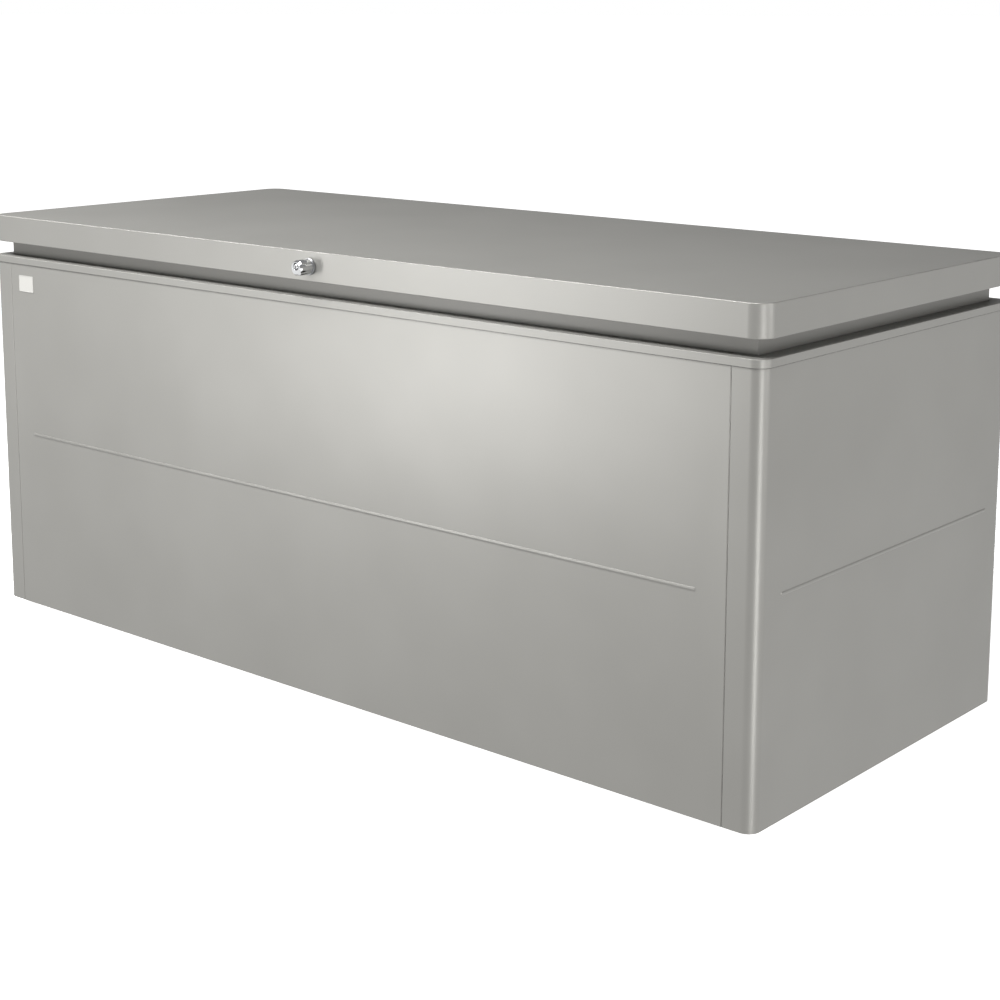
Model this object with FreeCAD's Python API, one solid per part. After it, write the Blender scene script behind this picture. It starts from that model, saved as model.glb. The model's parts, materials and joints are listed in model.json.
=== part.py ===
# Garden cushion box: folded sheet walls on a floor frame, a flat lid on three rear hinges,
# two gas struts that hold it up, and a knob in the lid's edge that drives two lock rods.
# X runs along the length, the front faces -Y, and the box stands on Z = 0 under its middle.

import FreeCAD
import Part
import math
import os

# Overall form
length = 2000.0
depth = 840.0
ground_gap = 20.0
wall_height = 762.0
rim_line = 1.0
rim_height = 15.0
shadow_gap = 30.0
lid_height = 57.0

# Sheet metal: thickness, outside radius of a fold, and the outer corner radii seen from above
sheet = 1.0
fold = 2.0
lid_fold = 2.0
rim_bevel = 1.5
rim_corner = 25.0
lid_corner = 32.0

# Walls: how far they stand behind the rim, the seams and the inward flanges
wall_setback = 1.5
seam_from_end = 60.0
seam_flange = 25.0
bottom_flange = 60.0

# Pressed bead at half height on all four walls
bead_width = 7.0
bead_height = 1.5
bead_to_seam = 59.0
bead_to_corner = 67.0

# Collar in the shadow gap, the drip gutter outside its foot and the seal on top of it
collar_setback = 31.0
collar_foot = 17.0
collar_lap = 14.0
collar_top_flange = 14.0
collar_hem = 6.0
gutter = 4.0
seal_height = 6.0
seal_width = 10.0
seal_inset = 2.0
seal_clearance = 0.3

# Lid: return flange, frame of rectangular tubes, and cross stiffeners
lid_return = 8.0
tube_setback = 28.0
tube_width = 24.0
tube_wall = 1.5
stiffener_crown = 60.0
stiffener_depth = 20.0
stiffener_flange = 15.0
lid_stiffener_count = 5
wall_stiffener_count = 3

# Hinges: knuckles rolled from the leaves round one pin
hinge_from_end = 300.0
hinge_width = 70.0
leaf = 2.0
leaf_rise = 44.0
leaf_drop = 17.0
pin_bore = 3.0
pin_fit = 0.05
lid_knuckle = 23.4
knuckle_gap = 0.3
leaf_gap = 1.0

# Base: rails across the box, feet under them and two floor panels on top
rail_height = 25.0
rail_width = 60.0
rail_lip = 12.0
rail_from_end = 140.0
foot_width = 56.0
foot_taper = 3.0
foot_from_face = 100.0
floor_clearance = 2.0
panel_gap = 0.3
rail_end_gap = 1.0

# Lock: knob, spindle and cam on one axis at half the lid's height
rosette_radius = 16.0
rosette_thickness = 5.0
barrel_radius = 10.0
barrel_length = 9.0
spindle_radius = 6.0
running_fit = 0.05
knob_clearance = 0.8
knob_radius = 14.5
knob_length = 30.0
knob_face_radius = 11.5
knob_taper = 4.0
flute_count = 6
flute_width = 8.0
flute_depth = 1.5
plug_rise = 3.0
plug_radius = 6.0
plug_length = 16.0
plug_proud = 1.0
keyway_width = 1.8
keyway_height = 8.0
keyway_depth = 7.0
nut_flats = 26.0
nut_thickness = 5.0
cam_gap = 0.5
cam_thickness = 3.0
cam_width = 13.0
pin_orbit = 14.0
pin_radius = 2.5
pin_length = 7.0
pin_throw = 45.0
cam_screw_radius = 3.0
cam_screw_flats = 8.0
cam_screw_head = 2.5
cam_screw_length = 11.0

# Lock rods: flat bars with a slotted head on the cam pin, run through guides into the strikes
rod_gap = 3.0
rod_thickness = 3.0
rod_width = 10.0
rod_tip = 4.0
slot_side_play = 0.6
slot_end_play = 0.4
slot_wall = 4.5
strike_from_middle = 640.0
strike_thickness = 2.0
strike_reach = 3.0
strike_play = 1.0
strike_wall = 5.0
tip_gap = 3.0
guide_near_middle = 120.0
guide_near_tip = 80.0
guide_play = 0.4
guide_wall = 3.0
bracket_foot = 12.0
lid_swing_gap = 1.5

# Gas struts: both pivots are set from the hinge axis, so that the strut keeps one turning ratio
strut_low_back = 77.0
strut_low_drop = 223.0
strut_high_back = 237.0
strut_high_rise = 35.0
stud_reach = 18.0
stud_radius = 4.0
stud_flats = 13.0
stud_base = 5.0
stud_cap_flats = 12.0
stud_cap = 1.5
stud_cap_gap = 0.3
eye_radius = 8.0
eye_width = 12.0
eye_stem_width = 10.0
eye_stem = 20.0
cylinder_radius = 9.0
cylinder_length = 237.0
cylinder_bevel = 1.5
cylinder_foot = 3.0
gland_play = 0.9
rod_radius = 4.0
rod_length = 250.0

# Posts that stiffen the side walls and carry the struts' lower studs
post_crown = 60.0
post_flange = 15.0

# Bare plate on the front wall
badge_width = 49.0
badge_height = 35.0
badge_thickness = 0.8
badge_from_seam = 29.0
badge_below_rim = 39.5

# Heights
wall_bottom = ground_gap
wall_top = wall_bottom + wall_height
rim_skirt_bottom = wall_top + rim_line
rim_top = rim_skirt_bottom + rim_height
lid_bottom = rim_top + shadow_gap
lid_top = lid_bottom + lid_height
rim_flange_top = wall_top + sheet
collar_top = lid_bottom + collar_lap
tube_bottom = collar_top + seal_height
tube_top = lid_top - sheet
bead_z = (wall_bottom + rim_top) / 2
lock_z = (lid_bottom + lid_top) / 2
rail_bottom = wall_bottom + sheet
floor_z = rail_bottom + rail_height

# Half plan sizes of each ring, measured from the middle
half_x = length / 2
half_y = depth / 2
wall_x = half_x - wall_setback
wall_y = half_y - wall_setback
wall_corner = rim_corner - wall_setback
seam_x = half_x - seam_from_end
collar_x = half_x - collar_setback
collar_y = half_y - collar_setback
clamp_x = collar_x - collar_foot
clamp_y = collar_y - collar_foot
tube_x = half_x - tube_setback
tube_y = half_y - tube_setback
tube_inner_x = tube_x - tube_width
tube_inner_y = tube_y - tube_width
wall_flange_y = wall_y - seam_flange
panel_x = tube_inner_x - floor_clearance
panel_y = wall_flange_y - floor_clearance
rail_x = half_x - rail_from_end
foot_y = half_y - foot_from_face

# Hinge axis: behind the lid frame, one knuckle radius below the lid's lower edge
knuckle_radius = pin_bore + leaf
hinge_y = tube_y + knuckle_radius
hinge_z = lid_bottom - knuckle_radius
hinge_x = half_x - hinge_from_end

# Lock positions along Y, from the lid's front face inwards
lid_face = -half_y
barrel_end = lid_face + barrel_length
cam_front = barrel_end + cam_gap
cam_back = cam_front + cam_thickness
rod_front = cam_back + rod_gap
rod_back = rod_front + rod_thickness
bracket_front = rod_front - strike_reach
pin_side = pin_orbit * math.sin(math.radians(pin_throw))
pin_rise = pin_orbit * math.cos(math.radians(pin_throw))
rod_offset = (pin_rise + pin_orbit) / 2

# Strut pivots
strut_x = tube_inner_x - stud_reach
low_y = hinge_y - strut_low_back
low_z = hinge_z - strut_low_drop
high_y = hinge_y - strut_high_back
high_z = hinge_z + strut_high_rise

V = FreeCAD.Vector
X = V(1, 0, 0)
Y = V(0, 1, 0)
Z = V(0, 0, 1)
SIDES = (-1, 1)


def block(x0, x1, y0, y1, z0, z1):
    """Box between two corners, given in any order."""
    low = V(min(x0, x1), min(y0, y1), min(z0, z1))
    return Part.makeBox(abs(x1 - x0), abs(y1 - y0), abs(z1 - z0), low)


def cylinder(radius, start, end):
    """Cylinder of one radius from start to end."""
    return Part.makeCylinder(radius, start.distanceToPoint(end), start, end - start)


def along_axis(shape, start, direction):
    """Shape drawn on the Z axis, moved so that it starts at a point and runs in a direction."""
    shape.Placement = FreeCAD.Placement(start, FreeCAD.Rotation(Z, direction))
    return shape


def fuse(shapes):
    """One clean solid from touching shapes."""
    return shapes[0].fuse(shapes[1:]).removeSplitter()


def cut(shape, tools):
    """Shape with all tools taken away."""
    return shape.cut(tools).removeSplitter()


def turned(shape):
    """Copy on the opposite side of the box, turned half round about the middle."""
    copy = shape.copy()
    copy.rotate(V(0, 0, 0), Z, 180)
    return copy


def spread(count, reach):
    """Evenly spaced places from -reach to +reach."""
    return [reach * (2 * i / (count - 1) - 1) for i in range(count)]


def prism(polygon, start, sweep):
    """Prism of a closed polygon of points, moved to start and swept by a vector."""
    wire = Part.makePolygon(polygon + polygon[:1])
    wire.translate(start)
    return Part.Face(wire).extrude(sweep)


def flat_sided(flats, sides):
    """Corners of a regular polygon round the Z axis, given the distance across its flats."""
    radius = flats / 2 / math.cos(math.pi / sides)
    turns = [2 * math.pi * (i + 0.5) / sides for i in range(sides)]
    return [V(radius * math.cos(a), radius * math.sin(a), 0) for a in turns]


def hexagon(flats, height, start, direction):
    """Hexagonal prism of a width across its flats, standing on start."""
    return along_axis(prism(flat_sided(flats, 6), V(0, 0, 0), V(0, 0, height)), start, direction)


def rounded_prism(hx, hy, radius, z0, z1):
    """Upright prism over a rectangle whose corners are rounded where the radius is above zero."""
    solid = block(-hx, hx, -hy, hy, z0, z1)
    if radius <= 0:
        return solid
    upright = [e for e in solid.Edges if abs(e.tangentAt(e.FirstParameter).z) > 0.5]
    return solid.makeFillet(radius, upright)


def edges_at_height(solid, z):
    """All edges that lie flat at one height."""
    flat = [e for e in solid.Edges if abs(e.BoundBox.ZMin - z) < 1e-6 and abs(e.BoundBox.ZMax - z) < 1e-6]
    return flat


def ring(outer_inset, inner_inset, corner, z0, z1):
    """Flat ring between two insets from the box's outline, with its corners concentric."""
    solids = []
    for inset in (outer_inset, inner_inset):
        solids.append(rounded_prism(half_x - inset, half_y - inset, corner - inset, z0, z1))
    return solids[0].cut(solids[1])


def bead_arc():
    """Radius of the pressed bead, and how deep its axis lies behind the sheet's outer face."""
    radius = (bead_width ** 2 / 4 + bead_height ** 2) / (2 * bead_height)
    return radius, radius - bead_height


def add_bead(sheet_part, start, end, outward, face):
    """Press a bead with round ends out of a flat sheet, and leave its hollow behind it.

    start and end are the centres of the round ends on the sheet's outer face."""
    radius, sunk = bead_arc()
    shift = outward * -sunk
    bar = cylinder(radius, start + shift, end + shift)
    balls = [Part.makeSphere(radius, p + shift) for p in (start, end)]
    proud = bar.fuse(balls).common(face)
    hollow = cylinder(radius - sheet, start + shift, end + shift)
    return fuse([sheet_part, proud]).cut(hollow)


def folded_section(points, thickness):
    """Outline of a folded sheet: the path is one face, and the sheet lies to its left."""
    ways = [(b - a).normalize() for a, b in zip(points, points[1:])]
    lefts = [V(-w.y, w.x, 0) for w in ways]
    other = [points[0] + lefts[0] * thickness]
    for point, before, after in zip(points[1:], lefts, lefts[1:]):
        other.append(point + (before + after) * (thickness / (1 + before.dot(after))))
    other.append(points[-1] + lefts[-1] * thickness)
    outline = points + other[::-1]
    return Part.Face(Part.makePolygon(outline + outline[:1]))


def section_along_x(points, thickness, x0, x1):
    """Folded sheet whose section is given as (y, z) and runs along X."""
    face = folded_section([V(y, z, 0) for y, z in points], thickness)
    turn = FreeCAD.Rotation(V(0, 1, 0), V(0, 0, 1), V(1, 0, 0), "XYZ")
    face.Placement = FreeCAD.Placement(V(x0, 0, 0), turn)
    return face.extrude(V(x1 - x0, 0, 0))


def section_along_y(points, thickness, y0, y1):
    """Folded sheet whose section is given as (x, z) and runs along Y."""
    face = folded_section([V(x, z, 0) for x, z in points], thickness)
    face.rotate(V(0, 0, 0), X, 90)
    face.translate(V(0, y0, 0))
    return face.extrude(V(0, y1 - y0, 0))


def section_along_z(points, thickness, z0, z1):
    """Folded sheet whose section is given as (x, y) and stands upright."""
    face = folded_section([V(x, y, 0) for x, y in points], thickness)
    face.translate(V(0, 0, z0))
    return face.extrude(V(0, 0, z1 - z0))


def mitre(bar, outer_x, outer_y, width, along_x):
    """Bar of a four-sided frame on its -Y or +X side, with 45 degree ends."""
    if along_x:
        plan = [(-outer_x, -outer_y), (outer_x, -outer_y), (outer_x - width, width - outer_y),
                (width - outer_x, width - outer_y)]
    else:
        plan = [(outer_x, -outer_y), (outer_x, outer_y), (outer_x - width, outer_y - width),
                (outer_x - width, width - outer_y)]
    keep = prism([V(x, y, 0) for x, y in plan], V(0, 0, 0), V(0, 0, lid_top))
    return bar.common(keep)


# Walls

def long_wall():
    """Front wall: a shallow pan, its end flanges on the seams, its top flange under the rim and
    its deep bottom flange under the floor."""
    back = bottom_flange - wall_y
    outer = block(-seam_x, seam_x, -wall_y, back, wall_bottom, wall_top)
    outer = outer.makeFillet(fold, upright_edges(outer, -wall_y))
    inside = (wall_bottom + sheet, wall_top - sheet)
    void = block(sheet - seam_x, seam_x - sheet, sheet - wall_y, depth, *inside)
    end_room = block(-length, length, -wall_flange_y, depth, *inside)
    top_room = block(-length, length, -clamp_y, depth, inside[1], rim_top)
    pan = cut(outer, [void, end_room, top_room])
    reach = seam_x - bead_to_seam - bead_width / 2
    face = block(-seam_x, seam_x, -depth, sheet / 2 - wall_y, wall_bottom, wall_top)
    return add_bead(pan, V(-reach, -wall_y, bead_z), V(reach, -wall_y, bead_z), Y * -1, face)


def upright_edges(solid, y):
    """Upright edges of a solid that lie at one y."""
    return [e for e in solid.Edges if e.BoundBox.ZLength > 1 and abs(e.BoundBox.YMin - y) < 1e-6
            and abs(e.BoundBox.YMax - y) < 1e-6]


def side_plan(inset, z0, z1):
    """Plan of the right side wall as a solid block: round at the two outer corners."""
    whole = rounded_prism(wall_x - inset, wall_y - inset, wall_corner - inset, z0, z1)
    return whole.common(block(seam_x + inset, length, -depth, depth, z0, z1))


def side_wall():
    """Right side wall: one sheet round both corners, with flanges at seams, top and bottom."""
    outer = side_plan(0, wall_bottom, wall_top)
    seam_edges = [e for e in outer.Edges if e.BoundBox.ZLength > 1 and abs(e.CenterOfMass.x - seam_x) < 1e-6]
    outer = outer.makeFillet(fold, seam_edges)
    inside = (wall_bottom + sheet, wall_top - sheet)
    void = side_plan(sheet, *inside)
    seam_room = block(0, seam_x + 2 * sheet, -wall_flange_y, wall_flange_y, *inside)
    top_room = block(0, clamp_x, -clamp_y, clamp_y, inside[1], rim_top)
    wall = cut(outer, [void, seam_room, top_room])
    reach = wall_y - bead_to_corner - bead_width / 2
    face = block(wall_x - sheet / 2, length, -depth, depth, wall_bottom, wall_top)
    return add_bead(wall, V(wall_x, -reach, bead_z), V(wall_x, reach, bead_z), X, face)


def rim_frame():
    """Rim on top of the walls: skirt, flat top, inner lip beside the gutter, and a flange."""
    lip_inset = collar_setback - gutter
    outer = rounded_prism(half_x, half_y, rim_corner, rim_skirt_bottom, rim_top)
    outer = outer.makeChamfer(rim_bevel, edges_at_height(outer, rim_top))
    lip_x = half_x - lip_inset
    lip_y = half_y - lip_inset
    void = rounded_prism(half_x - sheet, half_y - sheet, rim_corner - sheet, wall_top, rim_top - sheet)
    core = block(-lip_x - sheet, lip_x + sheet, -lip_y - sheet, lip_y + sheet, wall_top, rim_top)
    opening = block(-lip_x, lip_x, -lip_y, lip_y, wall_top, rim_top)
    foot = ring(lip_inset - sheet, half_y - clamp_y, 0, wall_top, rim_flange_top)
    return fuse([outer.cut(void.cut(core)).cut(opening), core.cut(opening), foot])


def collar_bar(along_x):
    """Collar bar on the front or right: foot, web, top flange and a hem, folded from one sheet."""
    outer = -collar_y if along_x else -collar_x
    inner = outer + collar_foot
    top_inner = outer + collar_top_flange
    path = [(top_inner, collar_top - collar_hem), (top_inner, collar_top), (outer, collar_top),
            (outer, rim_flange_top), (inner, rim_flange_top)]
    if along_x:
        bar = section_along_x(path, sheet, -collar_x, collar_x)
    else:
        bar = turned(section_along_y(path, sheet, -collar_y, collar_y))
    return mitre(bar, collar_x, collar_y, collar_foot, along_x)


def seal():
    """Rubber seal all round on the collar, just clear of the lid's frame."""
    inset = collar_setback + seal_inset
    return ring(inset, inset + seal_width, 0, collar_top, tube_bottom - seal_clearance)


def badge_plate():
    """Bare plate on the front wall near the left seam."""
    left = badge_from_seam - seam_x
    top = rim_top - badge_below_rim
    return block(left, left + badge_width, -wall_y - badge_thickness, -wall_y, top - badge_height, top)


# Base

def base_rail(x):
    """Lipped channel across the box, open at the top, under the floor."""
    side = rail_width / 2
    tip = side - rail_lip
    path = [(-tip, floor_z), (-side, floor_z), (-side, rail_bottom), (side, rail_bottom), (side, floor_z),
            (tip, floor_z)]
    reach = panel_y - sheet - rail_end_gap
    rail = section_along_y(path, sheet, -reach, reach)
    rail.translate(V(x, 0, 0))
    return rail


def feet():
    """Moulded eight-sided feet under the ends of each rail and under the middle, narrower below."""
    solids = []
    places = [(x, sign * foot_y) for x in (-rail_x, 0, rail_x) for sign in SIDES]
    for x, y in places + [(0, 0)]:
        wires = []
        for flats, z in ((foot_width - 2 * foot_taper, 0), (foot_width, rail_bottom)):
            corners = flat_sided(flats, 8)
            wires.append(Part.makePolygon([V(x, y, z) + point for point in corners + corners[:1]]))
        solids.append(Part.makeLoft(wires, True, True))
    return Part.makeCompound(solids)


def floor_panel(side):
    """Floor panel: flat on the rails, its outer edges turned down on to the walls' flanges."""
    near = side * panel_gap
    far = side * panel_x
    outer = block(near, far, -panel_y, panel_y, rail_bottom, floor_z + sheet)
    room = block(-side, far - side * sheet, sheet - panel_y, panel_y - sheet, 0, floor_z)
    return outer.cut(room)


# Stiffeners and posts

def hat_path(low, crown, flange, rise):
    """Section of a hat: two flanges on one line, and a crown raised from it."""
    side = crown / 2
    return [(-side - flange, low), (-side, low), (-side, low + rise), (side, low + rise), (side, low),
            (side + flange, low)]


def wall_stiffeners():
    """Upright hats behind the front and rear walls, evenly spaced between the seams."""
    solids = []
    pitch = 2 * seam_x / (wall_stiffener_count + 1)
    path = hat_path(sheet - wall_y, stiffener_crown, stiffener_flange, stiffener_depth - sheet)
    for x in spread(wall_stiffener_count, seam_x - pitch):
        hat = section_along_z(path, sheet, wall_bottom + sheet, wall_top - sheet)
        hat.translate(V(x, 0, 0))
        solids += [hat, turned(hat)]
    return Part.makeCompound(solids)


def side_posts():
    """Upright hats on the side walls; the rear pair carries the struts' lower studs."""
    solids = []
    skin = wall_x - sheet
    path = hat_path(-skin, post_crown, post_flange, skin - tube_inner_x - sheet)
    for sign in SIDES:
        hat = section_along_z(path, sheet, wall_bottom + sheet, wall_top - sheet)
        hat.rotate(V(0, 0, 0), Z, 90)
        hat.translate(V(0, sign * low_y, 0))
        solids += [hat, turned(hat)]
    return Part.makeCompound(solids)


# Hinges

def knuckle(x0, x1):
    """Rolled knuckle round the hinge axis."""
    tube = cylinder(knuckle_radius, V(x0, hinge_y, hinge_z), V(x1, hinge_y, hinge_z))
    return tube.cut(hinge_bore(x0, x1))


def hinge_bore(x0, x1):
    """Bore for the pin between two places along the hinge axis."""
    return cylinder(pin_bore, V(x0, hinge_y, hinge_z), V(x1, hinge_y, hinge_z))


def fixed_leaves():
    """Leaves on the rear collar, bent out under the axis and rolled into two knuckles each."""
    solids = []
    half = hinge_width / 2
    inner = lid_knuckle / 2 + knuckle_gap
    low = hinge_z - knuckle_radius
    for middle in (-hinge_x, 0, hinge_x):
        pieces = [block(middle - half, middle + half, collar_y, collar_y + leaf, low - leaf_drop, low + leaf)]
        for x0, x1 in ((-half, -inner), (inner, half)):
            pieces.append(block(middle + x0, middle + x1, collar_y, hinge_y, low, low + leaf))
            pieces.append(knuckle(middle + x0, middle + x1))
        solids.append(cut(fuse(pieces), [hinge_bore(middle - half, middle + half)]))
    return Part.makeCompound(solids)


def lid_leaves():
    """Leaves on the back of the lid frame, each rolled into the middle knuckle."""
    solids = []
    half = hinge_width / 2
    inner = lid_knuckle / 2
    low = hinge_z + knuckle_radius + leaf_gap
    for middle in (-hinge_x, 0, hinge_x):
        plate = block(middle - half, middle + half, tube_y, tube_y + leaf, low, lid_bottom + leaf_rise)
        tongue = block(middle - inner, middle + inner, tube_y, tube_y + leaf, hinge_z, low)
        rolled = knuckle(middle - inner, middle + inner)
        solids.append(cut(fuse([plate, tongue, rolled]), [hinge_bore(middle - inner, middle + inner)]))
    return Part.makeCompound(solids)


def hinge_pins():
    """Pins through the knuckles, flush with the outer ones."""
    half = hinge_width / 2
    radius = pin_bore - pin_fit
    return Part.makeCompound([cylinder(radius, V(x - half, hinge_y, hinge_z), V(x + half, hinge_y, hinge_z))
                              for x in (-hinge_x, 0, hinge_x)])


# Lid

def lid_shell():
    """Lid skin: flat top, upright skirt with round corners and a narrow return flange below."""
    outer = rounded_prism(half_x, half_y, lid_corner, lid_bottom, lid_top)
    outer = outer.makeFillet(lid_fold, edges_at_height(outer, lid_top))
    void = rounded_prism(half_x - sheet, half_y - sheet, lid_corner - sheet, lid_bottom + sheet, tube_top)
    mouth_x = half_x - lid_return
    mouth_y = half_y - lid_return
    mouth = rounded_prism(mouth_x, mouth_y, lid_corner - lid_return, lid_bottom, tube_top)
    hole = cylinder(barrel_radius + running_fit, V(0, lid_face, lock_z), V(0, lid_face + 2 * sheet, lock_z))
    return cut(outer, [void, mouth, hole])


def lid_rail(along_x):
    """Rectangular tube of the lid frame on the front or right side, mitred at both ends."""
    if along_x:
        outer = block(-tube_x, tube_x, -tube_y, -tube_inner_y, tube_bottom, tube_top)
        bore = block(-length, length, tube_wall - tube_y, -tube_inner_y - tube_wall,
                     tube_bottom + tube_wall, tube_top - tube_wall)
    else:
        outer = block(tube_inner_x, tube_x, -tube_y, tube_y, tube_bottom, tube_top)
        bore = block(tube_inner_x + tube_wall, tube_x - tube_wall, -depth, depth,
                     tube_bottom + tube_wall, tube_top - tube_wall)
    return mitre(outer.cut(bore), tube_x, tube_y, tube_width, along_x)


def lid_stiffeners():
    """Hats across the lid between the front and rear tubes, crowns down."""
    solids = []
    pitch = 2 * tube_inner_x / (lid_stiffener_count + 1)
    path = hat_path(tube_top, stiffener_crown, stiffener_flange, sheet - stiffener_depth)
    for x in spread(lid_stiffener_count, tube_inner_x - pitch):
        hat = section_along_y(path[::-1], sheet, -tube_inner_y, tube_inner_y)
        hat.translate(V(x, 0, 0))
        solids.append(hat)
    return Part.makeCompound(solids)


# Lock

def lock_disc(radius, y0, y1, rise=0.0):
    """Round piece between two places along Y, on the knob's axis or a rise above it."""
    return cylinder(radius, V(0, y0, lock_z + rise), V(0, y1, lock_z + rise))


def lock_rosette():
    """Rosette and threaded barrel that carry the knob's spindle through the lid."""
    front = lid_face - rosette_thickness
    pieces = [lock_disc(rosette_radius, front, lid_face), lock_disc(barrel_radius, lid_face, barrel_end)]
    return cut(fuse(pieces), [lock_disc(spindle_radius + running_fit, front, barrel_end)])


def lock_nut():
    """Hexagon nut that clamps the barrel behind the lid's skirt."""
    seat = lid_face + sheet
    nut = hexagon(nut_flats, nut_thickness, V(0, seat, lock_z), Y)
    return nut.cut(lock_disc(barrel_radius + running_fit, seat, seat + nut_thickness))


def lock_knob():
    """Knob: fluted grip that tapers to a round face with a bore for the key plug, and the spindle."""
    root = lid_face - rosette_thickness - knob_clearance
    face = root - knob_length
    shoulder = face + knob_taper
    nose = Part.makeCone(knob_radius, knob_face_radius, knob_taper, V(0, shoulder, lock_z), Y * -1)
    pieces = [lock_disc(knob_radius, root, shoulder), nose, lock_disc(spindle_radius, root, cam_front)]
    tools = []
    low = lock_z - flute_width / 2
    for i in range(flute_count):
        flute = block(knob_radius - flute_depth, 2 * knob_radius, root, face, low, low + flute_width)
        flute.rotate(V(0, 0, lock_z), Y, 360 * (i + 0.5) / flute_count)
        tools.append(flute)
    bore_end = face + plug_length - plug_proud + running_fit
    tools.append(lock_disc(plug_radius + running_fit, face, bore_end, plug_rise))
    tools.append(lock_disc(cam_screw_radius + running_fit, cam_back - cam_screw_length, cam_front))
    return cut(fuse(pieces), tools)


def key_plug():
    """Key plug in the knob's face, above its middle, with an upright keyway."""
    front = lid_face - rosette_thickness - knob_clearance - knob_length - plug_proud
    plug_z = lock_z + plug_rise
    keyway = block(-keyway_width / 2, keyway_width / 2, front, front + keyway_depth,
                   plug_z - keyway_height / 2, plug_z + keyway_height / 2)
    return lock_disc(plug_radius, front, front + plug_length, plug_rise).cut(keyway)


def lock_cam():
    """Two-armed cam on the spindle's end with a drive pin on each arm."""
    middle = V(0, cam_front, lock_z)
    half = cam_width / 2
    arm = block(-pin_orbit, pin_orbit, cam_front, cam_back, lock_z - half, lock_z + half)
    arm.rotate(middle, Y, pin_throw - 90)
    pieces = [arm]
    for side in SIDES:
        tip = V(side * pin_side, cam_front, lock_z + side * pin_rise)
        pieces.append(cylinder(half, tip, tip + Y * cam_thickness))
        pieces.append(cylinder(pin_radius, tip, tip + Y * (cam_thickness + pin_length)))
    return cut(fuse(pieces), [lock_disc(cam_screw_radius + running_fit, cam_front, cam_back)])


def cam_screw():
    """Screw that holds the cam on the end of the spindle."""
    head = hexagon(cam_screw_flats, cam_screw_head, V(0, cam_back, lock_z), Y)
    return fuse([head, lock_disc(cam_screw_radius, cam_back, cam_back - cam_screw_length)])


def lock_rod(side):
    """Flat rod that runs out to one side: slotted head on the cam's pin, tapered tip."""
    z = lock_z - side * rod_offset
    half = rod_width / 2
    tip = strike_from_middle - strike_thickness / 2 - tip_gap
    shoulder = tip - rod_tip
    pin_x = -side * pin_side
    blunt = half - rod_tip / 2
    outline = [(pin_x, -half), (side * shoulder, -half), (side * tip, -blunt), (side * tip, blunt),
               (side * shoulder, half), (pin_x, half)]
    bar = prism([V(x, rod_front, z + h) for x, h in outline], V(0, 0, 0), V(0, rod_thickness, 0))
    slot_half = pin_radius + slot_side_play
    head_half = slot_half + slot_wall
    near = lock_z - side * (pin_rise - pin_radius - slot_end_play)
    far = lock_z - side * (pin_orbit + pin_radius + slot_end_play)
    head = block(pin_x - head_half, pin_x + head_half, rod_front, rod_back, near + side * slot_wall,
                 far - side * slot_wall)
    slot = block(pin_x - slot_half, pin_x + slot_half, rod_front, rod_back, near, far)
    return cut(fuse([bar, head]), [slot])


def bracket(x, rod_z, span, foot, seat_y, back_y, play):
    """Plate square to a rod, with a slot for it and a bent foot against the face at seat_y.

    span and foot are the lower and upper heights of the plate and of its foot."""
    half = strike_thickness / 2
    toe = bracket_foot if x > 0 else -bracket_foot
    pieces = [block(x - half, x + half, bracket_front, back_y, *span),
              block(x - half, x + half, bracket_front, seat_y, *foot),
              block(x, x + toe, seat_y - strike_thickness, seat_y, *foot)]
    reach = rod_width / 2 + play
    slot = block(x - half, x + half, rod_front - play, rod_back + play, rod_z - reach, rod_z + reach)
    return cut(fuse(pieces), [slot])


def lock_strikes():
    """Strikes on the front collar that the locked rods enter, hidden behind the lid's skirt."""
    solids = []
    foot = (lid_bottom + strike_thickness, collar_top)
    for side in SIDES:
        rod_z = lock_z - side * rod_offset
        high = rod_z + rod_width / 2 + strike_play + strike_wall
        solids.append(bracket(side * strike_from_middle, rod_z, (foot[0], high), foot, -collar_y,
                              -tube_y - lid_swing_gap, strike_play))
    return Part.makeCompound(solids)


def rod_guides():
    """Guides on the lid's front tube that hold each rod in line."""
    solids = []
    reach = rod_width / 2 + guide_play + guide_wall
    for side in SIDES:
        rod_z = lock_z - side * rod_offset
        span = (rod_z - reach, max(rod_z + reach, tube_bottom + bracket_foot))
        foot = (max(span[0], tube_bottom), span[1])
        for x in (guide_near_middle, strike_from_middle - guide_near_tip):
            solids.append(bracket(side * x, rod_z, span, foot, -tube_y, -tube_y, guide_play))
    return Part.makeCompound(solids)


# Gas struts

def lower_pivot(side):
    """Middle of the lower eye, on the rear side post."""
    return V(side * strut_x, low_y, low_z)


def upper_pivot(side):
    """Middle of the upper eye, on the lid's side tube."""
    return V(side * strut_x, high_y, high_z)


def strut_way():
    """Direction of the closed strut from its lower to its upper pivot."""
    return (upper_pivot(1) - lower_pivot(1)).normalize()


def strut_cylinder(side):
    """Pressure cylinder, bored for the rod, closed at its foot, and the eye on that end."""
    start = lower_pivot(side) + strut_way() * eye_stem
    end = start + strut_way() * cylinder_length
    tube = cylinder(cylinder_radius, start, end)
    gland = [e for e in tube.Edges if e.Closed and e.CenterOfMass.isEqual(end, 1e-6)]
    tube = tube.makeChamfer(cylinder_bevel, gland)
    tube = tube.cut(cylinder(rod_radius + gland_play, start + strut_way() * cylinder_foot, end))
    return Part.makeCompound([tube, strut_eye(lower_pivot(side), strut_way())])


def strut_rod(side):
    """Piston rod with the upper eye on its end."""
    way = strut_way() * -1
    top = upper_pivot(side)
    rod = cylinder(rod_radius, top + way * eye_stem, top + way * rod_length)
    return Part.makeCompound([rod, strut_eye(top, way)])


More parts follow.
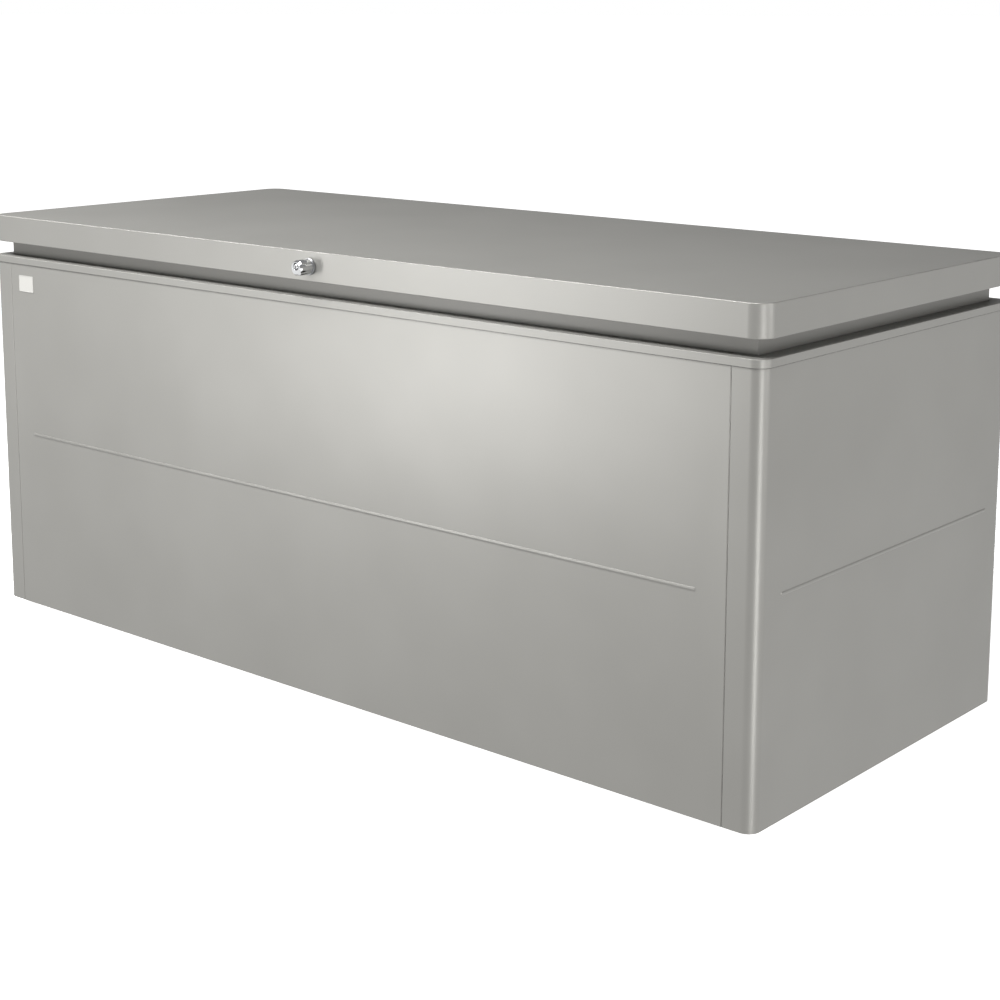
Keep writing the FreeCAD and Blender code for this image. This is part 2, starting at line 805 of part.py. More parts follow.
def strut_eye(pivot, way):
    """Eye on the end of the strut: a bored ring on a short square stem."""
    half = X * (eye_width / 2)
    side = eye_stem_width / 2
    stem = block(-side, side, -side, side, 0, eye_stem)
    solid = fuse([cylinder(eye_radius, pivot - half, pivot + half), along_axis(stem, pivot, way)])
    return cut(solid, [cylinder(stud_radius + running_fit, pivot - half, pivot + half)])


def strut_stud(side, pivot):
    """Stud for an eye: hexagon base on the post or tube, plain pin, and a cap that keeps the eye."""
    outward = V(side, 0, 0)
    seat = V(side * tube_inner_x, pivot.y, pivot.z)
    cap = pivot - outward * (eye_width / 2 + stud_cap_gap)
    pieces = [hexagon(stud_flats, stud_base, seat, outward * -1), cylinder(stud_radius, cap, seat),
              hexagon(stud_cap_flats, stud_cap, cap, outward * -1)]
    return fuse(pieces)


def build():
    """All pieces by name."""
    parts = {}
    parts["front_wall"] = long_wall()
    parts["rear_wall"] = turned(parts["front_wall"])
    parts["side_wall_right"] = side_wall()
    parts["side_wall_left"] = turned(parts["side_wall_right"])
    parts["rim_frame"] = rim_frame()
    parts["collar_front"] = collar_bar(True)
    parts["collar_rear"] = turned(parts["collar_front"])
    parts["collar_right"] = collar_bar(False)
    parts["collar_left"] = turned(parts["collar_right"])
    parts["collar_seal"] = seal()
    parts["badge_plate"] = badge_plate()
    parts["base_rail_left"] = base_rail(-rail_x)
    parts["base_rail_middle"] = base_rail(0)
    parts["base_rail_right"] = base_rail(rail_x)
    parts["feet"] = feet()
    parts["floor_panel_left"] = floor_panel(-1)
    parts["floor_panel_right"] = floor_panel(1)
    parts["wall_stiffeners"] = wall_stiffeners()
    parts["side_posts"] = side_posts()
    parts["hinge_leaves_fixed"] = fixed_leaves()
    parts["hinge_leaves_lid"] = lid_leaves()
    parts["hinge_pins"] = hinge_pins()
    parts["lid_shell"] = lid_shell()
    parts["lid_rail_front"] = lid_rail(True)
    parts["lid_rail_rear"] = turned(parts["lid_rail_front"])
    parts["lid_rail_right"] = lid_rail(False)
    parts["lid_rail_left"] = turned(parts["lid_rail_right"])
    parts["lid_stiffeners"] = lid_stiffeners()
    parts["lock_rosette"] = lock_rosette()
    parts["lock_nut"] = lock_nut()
    parts["lock_knob"] = lock_knob()
    parts["key_plug"] = key_plug()
    parts["lock_cam"] = lock_cam()
    parts["cam_screw"] = cam_screw()
    parts["rod_guides"] = rod_guides()
    parts["lock_strikes"] = lock_strikes()
    for name, side in (("left", -1), ("right", 1)):
        parts["lock_rod_" + name] = lock_rod(side)
        parts["strut_cylinder_" + name] = strut_cylinder(side)
        parts["strut_rod_" + name] = strut_rod(side)
        parts["strut_stud_lower_" + name] = strut_stud(side, lower_pivot(side))
        parts["strut_stud_upper_" + name] = strut_stud(side, upper_pivot(side))
    return parts


os.makedirs("parts", exist_ok=True)
for node, shape in build().items():
    shape.exportStep("parts/" + node + ".step")
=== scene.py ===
import json
import math

import bpy
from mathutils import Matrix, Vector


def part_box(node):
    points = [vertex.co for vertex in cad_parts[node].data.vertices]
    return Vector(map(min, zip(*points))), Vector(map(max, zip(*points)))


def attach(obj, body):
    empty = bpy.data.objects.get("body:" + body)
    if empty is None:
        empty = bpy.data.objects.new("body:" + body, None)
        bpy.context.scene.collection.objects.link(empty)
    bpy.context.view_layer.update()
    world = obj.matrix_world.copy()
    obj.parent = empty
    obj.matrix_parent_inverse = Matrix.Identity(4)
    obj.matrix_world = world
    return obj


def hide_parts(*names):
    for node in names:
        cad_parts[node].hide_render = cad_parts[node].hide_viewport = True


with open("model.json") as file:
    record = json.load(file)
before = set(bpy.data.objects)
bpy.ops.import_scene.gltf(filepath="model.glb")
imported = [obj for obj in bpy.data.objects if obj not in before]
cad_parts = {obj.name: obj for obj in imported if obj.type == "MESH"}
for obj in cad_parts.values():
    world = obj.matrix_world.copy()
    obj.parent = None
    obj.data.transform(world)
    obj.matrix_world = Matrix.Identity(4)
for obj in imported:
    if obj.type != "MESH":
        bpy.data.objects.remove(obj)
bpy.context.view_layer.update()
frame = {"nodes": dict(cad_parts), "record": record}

# Walls
# Front and rear are shallow steel pans with a pressed bead; each side wall is one sheet bent round
# both corners. All are folded inwards at the seams, screwed together there and powder coated.

# The body that each node moves on, from the record.
bodies = frame["record"]["behaviour"]["bodies"]


def colour(code):
    """Linear colour of an sRGB hex value."""
    parts = [int(code[i:i + 2], 16) / 255 for i in (1, 3, 5)]
    linear = [p / 12.92 if p <= 0.04045 else ((p + 0.055) / 1.055) ** 2.4 for p in parts]
    return (*linear, 1.0)


def add(tree, kind, values=(), links=(), **settings):
    """Add one shader node with its settings, the values of its inputs and what feeds them."""
    made = tree.nodes.new("ShaderNode" + kind)
    for name, value in settings.items():
        setattr(made, name, value)
    for name, value in dict(values).items():
        made.inputs[name].default_value = value
    for name, (source, output) in dict(links).items():
        tree.links.new(source.outputs[output], made.inputs[name])
    return made


def new_material(title, **sockets):
    """Material with one principled shader, whose sockets are set by name."""
    made = bpy.data.materials.new(title)
    made.use_nodes = True
    made.node_tree.nodes.clear()
    values = {name.replace("_", " "): value for name, value in sockets.items()}
    shader = add(made.node_tree, "BsdfPrincipled", values)
    add(made.node_tree, "OutputMaterial", links={"Surface": (shader, "BSDF")})
    return made, made.node_tree, shader


def pattern(tree, kind, cell, **values):
    """Texture in the piece's own coordinates, with cells of a size in metres."""
    place = add(tree, "TexCoord")
    return add(tree, kind, {"Scale": 1 / cell, **values}, {"Vector": (place, "Object")})


def between(tree, source, output, low, high):
    """Colour mix from low to high, driven by one output that runs from 0 to 1."""
    return add(tree, "Mix", {"A": colour(low), "B": colour(high)}, {"Factor": (source, output)},
               data_type="RGBA")


def vary(tree, source, output, low, high):
    """Number from low to high, driven by one output that runs from 0 to 1."""
    return add(tree, "MapRange", {"To Min": low, "To Max": high}, {"Value": (source, output)})


def feed(tree, shader, tint=None, gloss=None, bump=None):
    """Link a colour mix, a roughness and a bump to the shader's own sockets."""
    for made, output, socket in ((tint, "Result", "Base Color"), (gloss, "Result", "Roughness"),
                                 (bump, "Normal", "Normal")):
        if made:
            tree.links.new(made.outputs[output], shader.inputs[socket])


def powder_coat(name, low, high, roughness, metallic):
    """Metallic powder coat, sprayed and baked.

    Aluminium flakes in a warm grey binder give a broad soft highlight, with a faint cloudiness over
    220 mm and an orange peel of about 3 mm. The flakes, 0.05 mm in the real coat, are drawn at
    1.5 mm to show at all.
    """
    made, tree, shader = new_material(name, Metallic=metallic, Coat_Weight=0.12,
                                      Coat_Roughness=0.30)
    cloud = pattern(tree, "TexNoise", 0.22, Detail=2.0)
    flake = pattern(tree, "TexNoise", 0.0015, Detail=1.0)
    peel = pattern(tree, "TexNoise", 0.003, Detail=1.0)
    both = add(tree, "Math", {1: 0.35}, {0: (flake, "Fac"), 2: (cloud, "Fac")},
               operation="MULTIPLY_ADD")
    share = add(tree, "MapRange", {"From Min": 0.45, "From Max": 0.90}, {"Value": (both, "Value")})
    bump = add(tree, "Bump", {"Strength": 0.05, "Distance": 0.0002}, {"Height": (peel, "Fac")})
    feed(tree, shader, between(tree, share, "Result", low, high),
         vary(tree, flake, "Fac", roughness - 0.02, roughness + 0.02), bump)
    return made


def coat(material, *pieces):
    """Give pieces, or CAD nodes by name, one material on every slot."""
    for piece in pieces:
        piece = frame["nodes"][piece] if isinstance(piece, str) else piece
        if not piece.data.materials:
            piece.data.materials.append(material)
        for place in piece.material_slots:
            place.material = material


def only(piece):
    """Select one piece and nothing else."""
    if bpy.context.object and bpy.context.object.mode != "OBJECT":
        bpy.ops.object.mode_set(mode="OBJECT")
    bpy.ops.object.select_all(action="DESELECT")
    bpy.context.view_layer.objects.active = piece
    piece.select_set(True)


def smooth(piece, degrees):
    """Shade bends up to an angle as round and let the large flat faces keep their own direction."""
    only(piece)
    bpy.ops.object.shade_smooth_by_angle(angle=math.radians(degrees))
    piece.modifiers.new("flat faces", "WEIGHTED_NORMAL").keep_sharp = True
    bpy.ops.object.modifier_apply(modifier="flat faces")


def stand_for(piece, *nodes):
    """The piece shows in place of CAD nodes: it moves on their body."""
    body = next(name for name, members in bodies.items() if nodes[0] in members)
    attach(piece, body)
    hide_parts(*nodes)


def merged(node, degrees):
    """Smooth copy of a CAD node, its loose triangles joined and flat areas made one face each."""
    mesh = frame["nodes"][node].data.copy()
    piece = bpy.data.objects.new(node + "_skin", mesh)
    bpy.context.collection.objects.link(piece)
    only(piece)
    bpy.ops.object.mode_set(mode="EDIT")
    bpy.ops.mesh.select_all(action="SELECT")
    bpy.ops.mesh.remove_doubles(threshold=0.00001)
    bpy.ops.mesh.dissolve_limited(angle_limit=math.radians(0.2))
    bpy.ops.object.mode_set(mode="OBJECT")
    mesh.materials.clear()
    smooth(piece, degrees)
    stand_for(piece, node)
    return piece


def pick(piece, kind, test):
    """In edit mode, select only the edges or faces whose places pass a test."""
    only(piece)
    mesh = piece.data
    for parts in (mesh.vertices, mesh.edges, mesh.polygons):
        for part in parts:
            part.select = False
    if kind == "FACE":
        for face in mesh.polygons:
            face.select = test(face.center, face.normal)
    else:
        for edge in mesh.edges:
            ends = [mesh.vertices[i] for i in edge.vertices]
            edge.select = test(ends[0].co, ends[1].co)
            for end in ends:
                end.select = end.select or edge.select
    bpy.context.tool_settings.mesh_select_mode = (False, kind == "EDGE", kind == "FACE")
    bpy.ops.object.mode_set(mode="EDIT")


paint = powder_coat("Satin_metallic_powder_coat", "#84837F", "#888783", 0.42, 0.45)
# The two folds of a seam meet with round edges, which leaves a fine open line.
seam_x = 0.940
seam_opening = 0.0004
for node in ("front_wall", "rear_wall", "side_wall_left", "side_wall_right"):
    wall = merged(node, 30)
    pick(wall, "EDGE", lambda a, b: all(abs(abs(end.x) - seam_x) < 0.00001 for end in (a, b)))
    apart = seam_opening if node.startswith("side") else -seam_opening
    bpy.ops.transform.resize(value=(1 + apart / seam_x, 1, 1), center_override=(0, 0, 0))
    bpy.ops.object.mode_set(mode="OBJECT")
    coat(paint, wall)

# Rim
# One rolled frame that caps the walls: a 15 mm skirt, a flat ledge and a lip down into the gutter.
# Its corners are bent, welded and ground before it is powder coated with the walls.

coat(paint, merged("rim_frame", 50))

# Collar
# Four bars folded from steel sheet, mitred at the corners and screwed down on the rim's inner
# flange. They stand back in the shadow gap under the lid.

# The collar's grey is darker than the walls' as painted shade for the shadow gap under the lid; its
# coat is a little rougher, with less shine.
collar_paint_with_painted_shade = powder_coat("Powder_coat_of_the_collar_with_painted_shade", "#6E6D69", "#72716D", 0.46, 0.40)
coat(collar_paint_with_painted_shade, "collar_front", "collar_rear", "collar_left", "collar_right")

# Bare plate
# A small plate of enamelled aluminium with rounded corners and a narrow raised border, glued to
# the front wall near the left seam.

plate_low, plate_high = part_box("badge_plate")
plate_corner = 0.002
plate_border = 0.0012
dish_slope = 0.0002
dish_depth = 0.0003


def block(name, low, high):
    """Cube stretched between two corners, as the start of a piece."""
    bpy.ops.object.select_all(action="DESELECT")
    middle = [(a + b) / 2 for a, b in zip(low, high)]
    size = [b - a for a, b in zip(low, high)]
    bpy.ops.mesh.primitive_cube_add(size=1, location=middle, scale=size)
    piece = bpy.context.object
    piece.name = name
    bpy.ops.object.transform_apply(location=True, rotation=True, scale=True)
    return piece


# Stoved enamel gives an even pale satin face. Its mottle of 0.8 mm only shows close up.
enamel, tree, shader = new_material("Satin_enamel_plate", Roughness=0.38)
mottle = pattern(tree, "TexNoise", 0.0008, Detail=1.0)
bump = add(tree, "Bump", {"Strength": 0.05, "Distance": 0.0001}, {"Height": (mottle, "Fac")})
feed(tree, shader, between(tree, mottle, "Fac", "#A8A7A3", "#B0AFAB"), bump=bump)
plate = block("bare_plate", plate_low, plate_high)
pick(plate, "EDGE", lambda a, b: abs(a.y - b.y) > 0.0001)
bpy.ops.mesh.bevel(offset=plate_corner, segments=6, affect="EDGES")
pick(plate, "FACE", lambda place, normal: normal.y < -0.99)
bpy.ops.mesh.inset(thickness=plate_border)
bpy.ops.mesh.inset(thickness=dish_slope, depth=-dish_depth)
bpy.ops.object.mode_set(mode="OBJECT")
stand_for(plate, "badge_plate")
coat(enamel, plate)

# Seal
# A strip of cellular rubber with rounded upper edges, glued to the collar's top flange all round,
# where the closed lid lies on it.

seal_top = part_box("collar_seal")[1].z
seal_edge = 0.002
# Foam rubber takes in nearly all light and gives a dull black with open pores about 1.2 mm across.
rubber, tree, shader = new_material("Cellular_rubber", Roughness=0.85, Specular_IOR_Level=0.35)
pores = pattern(tree, "TexVoronoi", 0.0012)
bump = add(tree, "Bump", {"Strength": 0.5, "Distance": 0.0003}, {"Height": (pores, "Distance")})
feed(tree, shader, between(tree, pores, "Distance", "#151515", "#262626"), bump=bump)
seal = merged("collar_seal", 30)
pick(seal, "EDGE", lambda a, b: min(a.z, b.z) > seal_top - 0.0001)
bpy.ops.mesh.bevel(offset=seal_edge, segments=4, affect="EDGES")
smooth(seal, 35)
coat(rubber, seal)

# Base
# Lipped channels of galvanised steel, moulded feet pushed up into them and aluminium floor panels
# screwed down on top.

foot_edge = 0.002
# Hot dip galvanising gives zinc crystals about 9 mm across, each a little duller than the next.
galvanised, tree, shader = new_material("Galvanised_sheet", Metallic=1.0)
spangle = pattern(tree, "TexVoronoi", 0.009)
tone = add(tree, "SeparateColor", links={"Color": (spangle, "Color")})
feed(tree, shader, between(tree, tone, "Red", "#ACAEAE", "#C0C2C2"),
     vary(tree, tone, "Green", 0.37, 0.47))
coat(galvanised, "base_rail_left", "base_rail_middle", "base_rail_right")

# Moulded polyamide gives a dull black with an eroded grain, 0.3 mm in the real foot and drawn at
# 1.5 mm to show.
polyamide, tree, shader = new_material("Moulded_polyamide", Roughness=0.55)
grain = pattern(tree, "TexNoise", 0.0015, Detail=2.0)
bump = add(tree, "Bump", {"Strength": 0.2, "Distance": 0.0002}, {"Height": (grain, "Fac")})
feed(tree, shader, between(tree, grain, "Fac", "#1B1B1C", "#252526"), bump=bump)
feet = merged("feet", 30)
pick(feet, "EDGE", lambda a, b: max(a.z, b.z) < 0.0001 or abs(a.z - b.z) > 0.01)
bpy.ops.mesh.bevel(offset=foot_edge, segments=3, affect="EDGES")
smooth(feet, 35)
coat(polyamide, feet)

# Rolled aluminium gives fine lines along the sheet that stretch its reflections. They are drawn
# 2.5 mm apart, about ten times as coarse as real ones, and 250 mm long.
aluminium, tree, shader = new_material("Mill_finish_aluminium", Metallic=1.0)
place = add(tree, "TexCoord")
along = add(tree, "Mapping", {"Scale": (1 / 0.25, 1 / 0.0025, 1 / 0.0025)},
            {"Vector": (place, "Object")})
rolling = add(tree, "TexNoise", {"Scale": 1.0, "Detail": 3.0}, {"Vector": (along, "Vector")})
feed(tree, shader, between(tree, rolling, "Fac", "#B4B6B7", "#CBCDCE"),
     vary(tree, rolling, "Fac", 0.30, 0.44))
coat(aluminium, "floor_panel_left", "floor_panel_right")

# Stiffeners and posts
# Hat sections folded from the wall sheet, bonded behind the walls and coated with them. The posts
# of the rear corners also carry the gas struts' lower studs.

coat(paint, "wall_stiffeners", "side_posts")

# Lid skin
# One steel sheet, its skirt folded down 57 mm and turned in 8 mm below, with welded and ground
# corners of 32 mm radius. It is coated like the walls.

lid_low, lid_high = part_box("lid_shell")
lid_corner = 0.032
lid_fold = 0.002
lower_bend = 0.0015
lid_return = 0.008
lid_sheet = 0.001

lid_skin = block("lid_skin", lid_low, lid_high)
pick(lid_skin, "EDGE", lambda a, b: abs(a.z - b.z) > 0.01)
bpy.ops.mesh.bevel(offset=lid_corner, segments=16, affect="EDGES")
pick(lid_skin, "EDGE", lambda a, b: min(a.z, b.z) > lid_high.z - 0.0001)
bpy.ops.mesh.bevel(offset=lid_fold, segments=4, affect="EDGES")
pick(lid_skin, "EDGE", lambda a, b: max(a.z, b.z) < lid_low.z + 0.0001)
bpy.ops.mesh.bevel(offset=lower_bend, segments=3, affect="EDGES")
pick(lid_skin, "FACE", lambda place, normal: normal.z < -0.99)
bpy.ops.mesh.inset(thickness=lid_return - lower_bend, use_even_offset=True)
bpy.ops.mesh.delete(type="FACE")
bpy.ops.object.mode_set(mode="OBJECT")
steel = lid_skin.modifiers.new("sheet", "SOLIDIFY")
steel.thickness = lid_sheet
steel.use_even_offset = True
bpy.ops.object.modifier_apply(modifier="sheet")
smooth(lid_skin, 40)
stand_for(lid_skin, "lid_shell")
coat(paint, lid_skin)

# Lid frame
# Galvanised rectangular steel tubes, welded at the mitres and bonded under the skin, with folded
# hat sections between the long ones.

coat(galvanised, "lid_rail_front", "lid_rail_rear", "lid_rail_left", "lid_rail_right",
     "lid_stiffeners")

# Hinges
# Three steel hinges, their leaves rolled round pins and zinc plated, screwed to the collar's rear
# bar and to the lid frame.

# Bright zinc plating gives a cool silver shine with cloudy patches of 6 mm.
zinc, tree, shader = new_material("Bright_zinc_plating", Metallic=1.0)
cloud = pattern(tree, "TexNoise", 0.006, Detail=3.0)
feed(tree, shader, between(tree, cloud, "Fac", "#B9BCBE", "#D3D4D2"),
     vary(tree, cloud, "Fac", 0.24, 0.38))
for node in ("hinge_leaves_fixed", "hinge_leaves_lid", "hinge_pins"):
    coat(zinc, merged(node, 30))

# Lock
# A chromed die-cast knob with its key plug turns a cam behind the lid's edge, and the cam's two
# pins push flat zinc plated rods out to the strikes. A nut holds the rosette in the skirt.

knob_low, knob_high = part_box("lock_knob")
lock_z = (knob_low.z + knob_high.z) / 2
spindle_radius = 0.006
grip_radius = 0.0145
face_radius = 0.0115
flute_radius = 0.00608
flute_out = 0.01908
plug_radius = 0.0051
plug_rise = 0.003
keyway = 0.0018
barrel_bore = 0.00605
thread_radius = 0.00985
thread_pitch = 0.001
nut_corner = 0.015011
nut_bore = 0.01005


def turned(name, place, steps, sides=96):
    """Round piece along Y at an (x, z) place, drawn out through pairs of y and radius."""
    x, z = place
    bpy.ops.object.select_all(action="DESELECT")
    bpy.ops.mesh.primitive_circle_add(
        vertices=sides, radius=steps[0][1], fill_type="NGON",
        location=(x, steps[0][0], z), rotation=(math.pi / 2, 0, 0))
    piece = bpy.context.object
    piece.name = name
    bpy.ops.object.transform_apply(location=True, rotation=True, scale=True)
    bpy.ops.object.mode_set(mode="EDIT")
    bpy.ops.mesh.select_all(action="SELECT")
    for (y0, r0), (y1, r1) in zip(steps, steps[1:]):
        bpy.ops.mesh.extrude_region_move(TRANSFORM_OT_translate={"value": (0, y1 - y0, 0)})
        bpy.ops.transform.resize(value=(r1 / r0, 1, r1 / r0), center_override=(x, y1, z))
    bpy.ops.mesh.select_all(action="SELECT")
    bpy.ops.mesh.normals_make_consistent(inside=False)
    bpy.ops.object.mode_set(mode="OBJECT")
    return piece


def carve(piece, tool):
    """Take a tool's shape away from a piece, and the tool with it."""
    only(piece)
    cutter = piece.modifiers.new("cut", "BOOLEAN")
    cutter.operation = "DIFFERENCE"
    cutter.solver = "EXACT"
    cutter.object = tool
    bpy.ops.object.modifier_apply(modifier="cut")
    bpy.data.objects.remove(tool)


def soften(piece, width, segments=3):
    """Round every edge that turns more than 28 degrees and shade the piece smooth."""
    only(piece)
    edge = piece.modifiers.new("edge", "BEVEL")
    edge.width = width
    edge.segments = segments
    edge.limit_method = "ANGLE"
    edge.angle_limit = math.radians(28)
    bpy.ops.object.modifier_apply(modifier="edge")
    smooth(piece, 35)


# Polished chrome mirrors its surroundings and gives hard bright edges. Smears about 4 mm wide
# break them a little.
chrome, tree, shader = new_material("Polished_chrome", Metallic=1.0, Base_Color=colour("#DEDFE0"))
smear = pattern(tree, "TexNoise", 0.004, Detail=2.0)
feed(tree, shader, gloss=vary(tree, smear, "Fac", 0.06, 0.14))

# Spindle, back, grip and the cone that runs out to the round face.
knob = turned("fluted_knob", (0, lock_z), [
    (-0.4105, spindle_radius), (-0.4258, spindle_radius), (-0.4258, grip_radius),
    (-0.4518, grip_radius), (-0.4558, face_radius)])
for i in range(6):
    turn = math.radians(60 * i + 30)
    flute_place = (flute_out * math.cos(turn), lock_z + flute_out * math.sin(turn))
    carve(knob, turned("flute", flute_place, [(-0.4560, flute_radius), (-0.4255, flute_radius)]))
# Bore of the plug, then a ring round its end that widens towards the face.
plug_place = (0, lock_z + plug_rise)
bore_radius = plug_radius + 0.0001
carve(knob, turned("recess", plug_place, [
    (-0.4398, bore_radius), (-0.4524, bore_radius), (-0.4524, 0.0061), (-0.4542, 0.0064),
    (-0.4559, 0.0072)]))
soften(knob, 0.0005)
stand_for(knob, "lock_knob")
coat(chrome, knob)

# A dark ring of painted shade lines the recess round the plug, so the plug shows in the bright
# face. Its grain is drawn at 0.4 mm.
painted_plug_recess_shade, tree, shader = new_material("Painted_shade_of_the_plug_recess", Metallic=1.0,
                                     Base_Color=colour("#3A3A3B"))
grain = pattern(tree, "TexNoise", 0.0004, Detail=1.0)
feed(tree, shader, gloss=vary(tree, grain, "Fac", 0.45, 0.60))
knob.data.materials.append(painted_plug_recess_shade)
# The faces of the recess round the plug take the painted shade.
for face in knob.data.polygons:
    from_plug = math.hypot(face.center.x, face.center.z - plug_place[1])
    if from_plug < 0.0066 and face.center.y > -0.4553:
        face.material_index = 1

plug = turned("keyed_plug", plug_place, [
    (-0.4408, plug_radius), (-0.4560, plug_radius), (-0.4568, 0.0043)])
carve(plug, block("keyway", (-keyway / 2, -0.4570, lock_z - 0.001),
                  (keyway / 2, -0.4498, lock_z + 0.007)))
soften(plug, 0.00015, 2)
stand_for(plug, "key_plug")
coat(chrome, plug)

# Flange with a broken edge, then the barrel with its thread in steps of half a pitch.
rosette = turned("threaded_rosette", (0, lock_z), [
    (-0.425, 0.0151), (-0.4241, 0.016), (-0.420, 0.016), (-0.420, thread_radius)]
    + [(-0.4195 + thread_pitch / 2 * i, thread_radius - thread_pitch / 2 * (i % 2))
       for i in range(17)])
carve(rosette, turned("bore", (0, lock_z), [(-0.430, barrel_bore), (-0.400, barrel_bore)]))
smooth(rosette, 35)
stand_for(rosette, "lock_rosette")
# Satin chrome gives a soft shine, and its grey is darker than the knob's as painted shade behind
# the knob. Its grain is drawn at 0.6 mm, coarser than the real matting.
satin, tree, shader = new_material("Satin_chrome_with_painted_shade", Metallic=1.0, Base_Color=colour("#97989A"))
grain = pattern(tree, "TexNoise", 0.0006, Detail=1.0)
feed(tree, shader, gloss=vary(tree, grain, "Fac", 0.28, 0.38))
coat(satin, rosette)

nut = turned("lock_nut_skin", (0, lock_z), [
    (-0.419, 0.0143), (-0.4186, nut_corner), (-0.4144, nut_corner), (-0.414, 0.0143)], 6)
carve(nut, turned("bore", (0, lock_z), [(-0.430, nut_bore), (-0.400, nut_bore)]))
smooth(nut, 35)
stand_for(nut, "lock_nut")
coat(zinc, nut)
for node in ("lock_cam", "cam_screw"):
    coat(zinc, merged(node, 30))
coat(zinc, "lock_rod_left", "lock_rod_right", "rod_guides", "lock_strikes")

# Gas struts
# Steel pressure tubes lacquered black, with hard chromed rods. Moulded black eyes at both ends turn
# on zinc plated studs, the lower ones on the rear posts and the upper ones on the lid's frame.

lower_pivot = (0.320, 0.600)
upper_pivot = (0.160, 0.858)
eye_reach = 0.0199


def black_eye(piece, y, z):
    """Give the faces near a pivot, which are the moulded eye's, the black of the feet."""
    piece.data.materials.append(polyamide)
    for face in piece.data.polygons:
        if math.hypot(face.center.y - y, face.center.z - z) < eye_reach:
            face.material_index = 1


# Black lacquer gives a deep wet gloss with a faint orange peel of about 3 mm.
lacquer, tree, shader = new_material("Black_lacquer", Base_Color=colour("#161617"), Coat_Weight=0.5,
                                     Coat_Roughness=0.12)
peel = pattern(tree, "TexNoise", 0.003, Detail=1.0)
feed(tree, shader, gloss=vary(tree, peel, "Fac", 0.26, 0.34))
for side in ("left", "right"):
    tube = merged("strut_cylinder_" + side, 30)
    coat(lacquer, tube)
    black_eye(tube, *lower_pivot)
    rod = merged("strut_rod_" + side, 30)
    coat(chrome, rod)
    black_eye(rod, *upper_pivot)
    coat(zinc, merged("strut_stud_lower_" + side, 30), merged("strut_stud_upper_" + side, 30))

# Small screws
# Zinc plated steel pan heads of 9 mm with a hexagon socket, on the seams, the collar's foot, the
# floor, the hinges, the strikes and the rod guides.

socket_radius = 0.0015
head = turned("head", (0, 0), [
    (0, 0.0043), (-0.0004, 0.0045), (-0.0016, 0.0043), (-0.0024, 0.0034), (-0.0026, 0.0026)], 16)
carve(head, turned("socket", (0, 0), [(-0.0012, socket_radius), (-0.0040, socket_radius)], 6))
smooth(head, 35)
toward = {"front": (0, 0, 0), "rear": (0, 0, math.pi), "up": (-math.pi / 2, 0, 0),
          "right": (0, 0, math.pi / 2), "left": (0, 0, -math.pi / 2)}


def screws(name, body, places):
    """Copies of the head, each at a place and facing a way, joined into one piece."""
    bpy.ops.object.select_all(action="DESELECT")
    for place, way in places:
        one = head.copy()
        one.data = head.data.copy()
        one.location = place
        one.rotation_euler = toward[way]
        bpy.context.collection.objects.link(one)
        one.select_set(True)
        bpy.context.view_layer.objects.active = one
    bpy.ops.object.join()
    joined = bpy.context.object
    joined.name = name
    bpy.ops.object.transform_apply(location=True, rotation=True, scale=True)
    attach(joined, body)
    coat(zinc, joined)


sides = (-1, 1)
hinge_x = (-0.7, 0, 0.7)
hinge_screw = 0.022
# Seams, on the folds inside the side walls.
box_places = [((s * 0.939, e * 0.406, 0.060 + 0.170 * i), "left" if s > 0 else "right")
              for s in sides for e in sides for i in range(5)]
# Foot of the collar, its long bars and then its short ones.
box_places += [((0.400 * i, s * 0.3805, 0.784), "up") for s in sides for i in range(-2, 3)]
box_places += [((s * 0.9605, 0.250 * i, 0.784), "up") for s in sides for i in (-1, 0, 1)]
# Floor panels on the three base rails.
box_places += [((rail + s * 0.024, 0.100 * i, 0.047), "up")
               for rail in (-0.860, 0, 0.860) for s in sides for i in (-3, -1, 1, 3)]
# Fixed hinge leaves and strikes.
box_places += [((x + s * hinge_screw, 0.391, 0.8095), "rear") for x in hinge_x for s in sides]
box_places += [((s * 0.6465, -0.391, 0.836), "front") for s in sides]
screws("box_screws", "box", box_places)
# Hinge leaves on the lid, then the rod guides, whose left pair stands higher.
lid_places = [((x + s * hinge_screw, 0.394, 0.855), "rear") for x in hinge_x for s in sides]
lid_places += [((s * x, -0.394, z), "front")
               for s, z in ((-1, 0.8685), (1, 0.854)) for x in (0.1265, 0.5665)]
screws("lid_screws", "lid", lid_places)
bpy.data.objects.remove(head)

# Studio
# A plain pale floor that stays out of the reflections, a surround that is bright below the horizon
# and dim above it, four soft lights and the camera.

bpy.ops.object.select_all(action="DESELECT")
bpy.ops.mesh.primitive_plane_add(size=600, location=(0, 0, 0))
floor = bpy.context.object
floor.name = "studio_floor"
# A matt white ground gives no shine. Its glow keeps it as white as the surround.
ground, tree, shader = new_material(
    "Matt_white_floor", Base_Color=colour("#FDFDFD"), Roughness=1.0, Specular_IOR_Level=0.0,
    Emission_Color=colour("#FFFFFF"), Emission_Strength=0.9)
coat(ground, floor)
floor.visible_diffuse = False
floor.visible_glossy = False
floor.visible_shadow = False

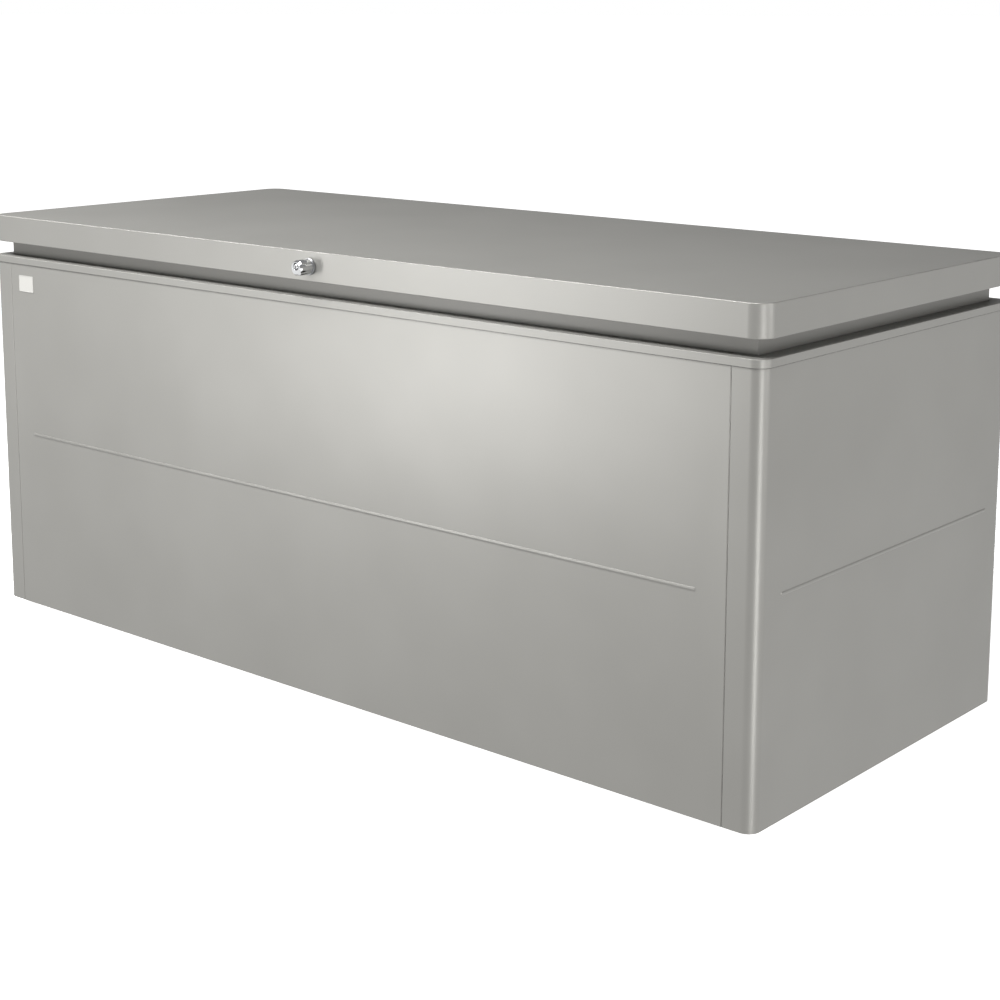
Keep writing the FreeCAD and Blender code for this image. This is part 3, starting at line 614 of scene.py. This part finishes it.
# The surround's strength falls from 0.95 to 0.28 just above the horizon. A band of 0.05 at the
# horizon itself keeps the far edge of the floor white.
world = bpy.data.worlds.new("Soft_surround")
world.use_nodes = True
tree = world.node_tree
tree.nodes.clear()
way = add(tree, "TexCoord")
height = add(tree, "SeparateXYZ", links={"Vector": (way, "Generated")})
level = add(tree, "MapRange",
            {"From Min": 0.012, "From Max": 0.05, "To Min": 0.95, "To Max": 0.28},
            {"Value": (height, "Z")})
horizon = add(tree, "Math", {1: 0.003, 2: 0.011}, {0: (height, "Z")}, operation="COMPARE")
total = add(tree, "Math", {1: 0.05}, {0: (horizon, "Value"), 2: (level, "Result")},
            operation="MULTIPLY_ADD")
sky = add(tree, "Background", {"Color": colour("#FFFFFF")}, {"Strength": (total, "Value")})
add(tree, "OutputWorld", links={"Surface": (sky, "Background")})
bpy.context.scene.world = world


def soft_light(name, place, target, width, height, watts):
    """Rectangular soft box that faces a target."""
    bpy.ops.object.light_add(type="AREA", location=place)
    lamp = bpy.context.object
    lamp.name = name
    lamp.data.shape = "RECTANGLE"
    lamp.data.size = width
    lamp.data.size_y = height
    lamp.data.energy = watts
    aim = [t - p for p, t in zip(place, target)]
    turn = math.atan2(aim[1], aim[0]) - math.pi / 2
    lamp.rotation_euler = (math.pi / 2 + math.atan2(aim[2], math.hypot(aim[0], aim[1])), 0, turn)


# The key and overhead lights shine on the front and the lid, the side light on the right end. The
# corner light stands low, for the bright strip down the front corner.
soft_light("key", (-1.75, -3.0, 0.6), (0, 0, 0.6), 0.4, 1.3, 33)
soft_light("corner", (3.55, -1.75, -0.25), (1.0, -0.42, -0.25), 1.1, 1.7, 40)
soft_light("overhead", (-1.2, -1.3, 2.8), (-1.2, -0.5, 0), 5.4, 0.5, 218)
soft_light("side", (4.5, 0.6, 1.2), (1.0, 0.0, 0.4), 1.5, 1.5, 48)

# The camera looks down by 10 degrees, and its frame is shifted down as the photograph's framing
# needs.
camera_tilt = 0.1744
camera_roll = -0.0014
camera_turn = 0.7093
sensor_width = 36
focal_ratio = 1.93477
frame_shift = -0.15
bpy.ops.object.camera_add(location=(2.59467, -2.90059, 1.32844))
camera = bpy.context.object
camera.rotation_euler = (math.pi / 2 - camera_tilt, camera_roll, camera_turn)
camera.data.lens = sensor_width * focal_ratio
camera.data.shift_y = frame_shift
bpy.context.scene.camera = camera
bpy.context.scene.view_settings.view_transform = "Standard"
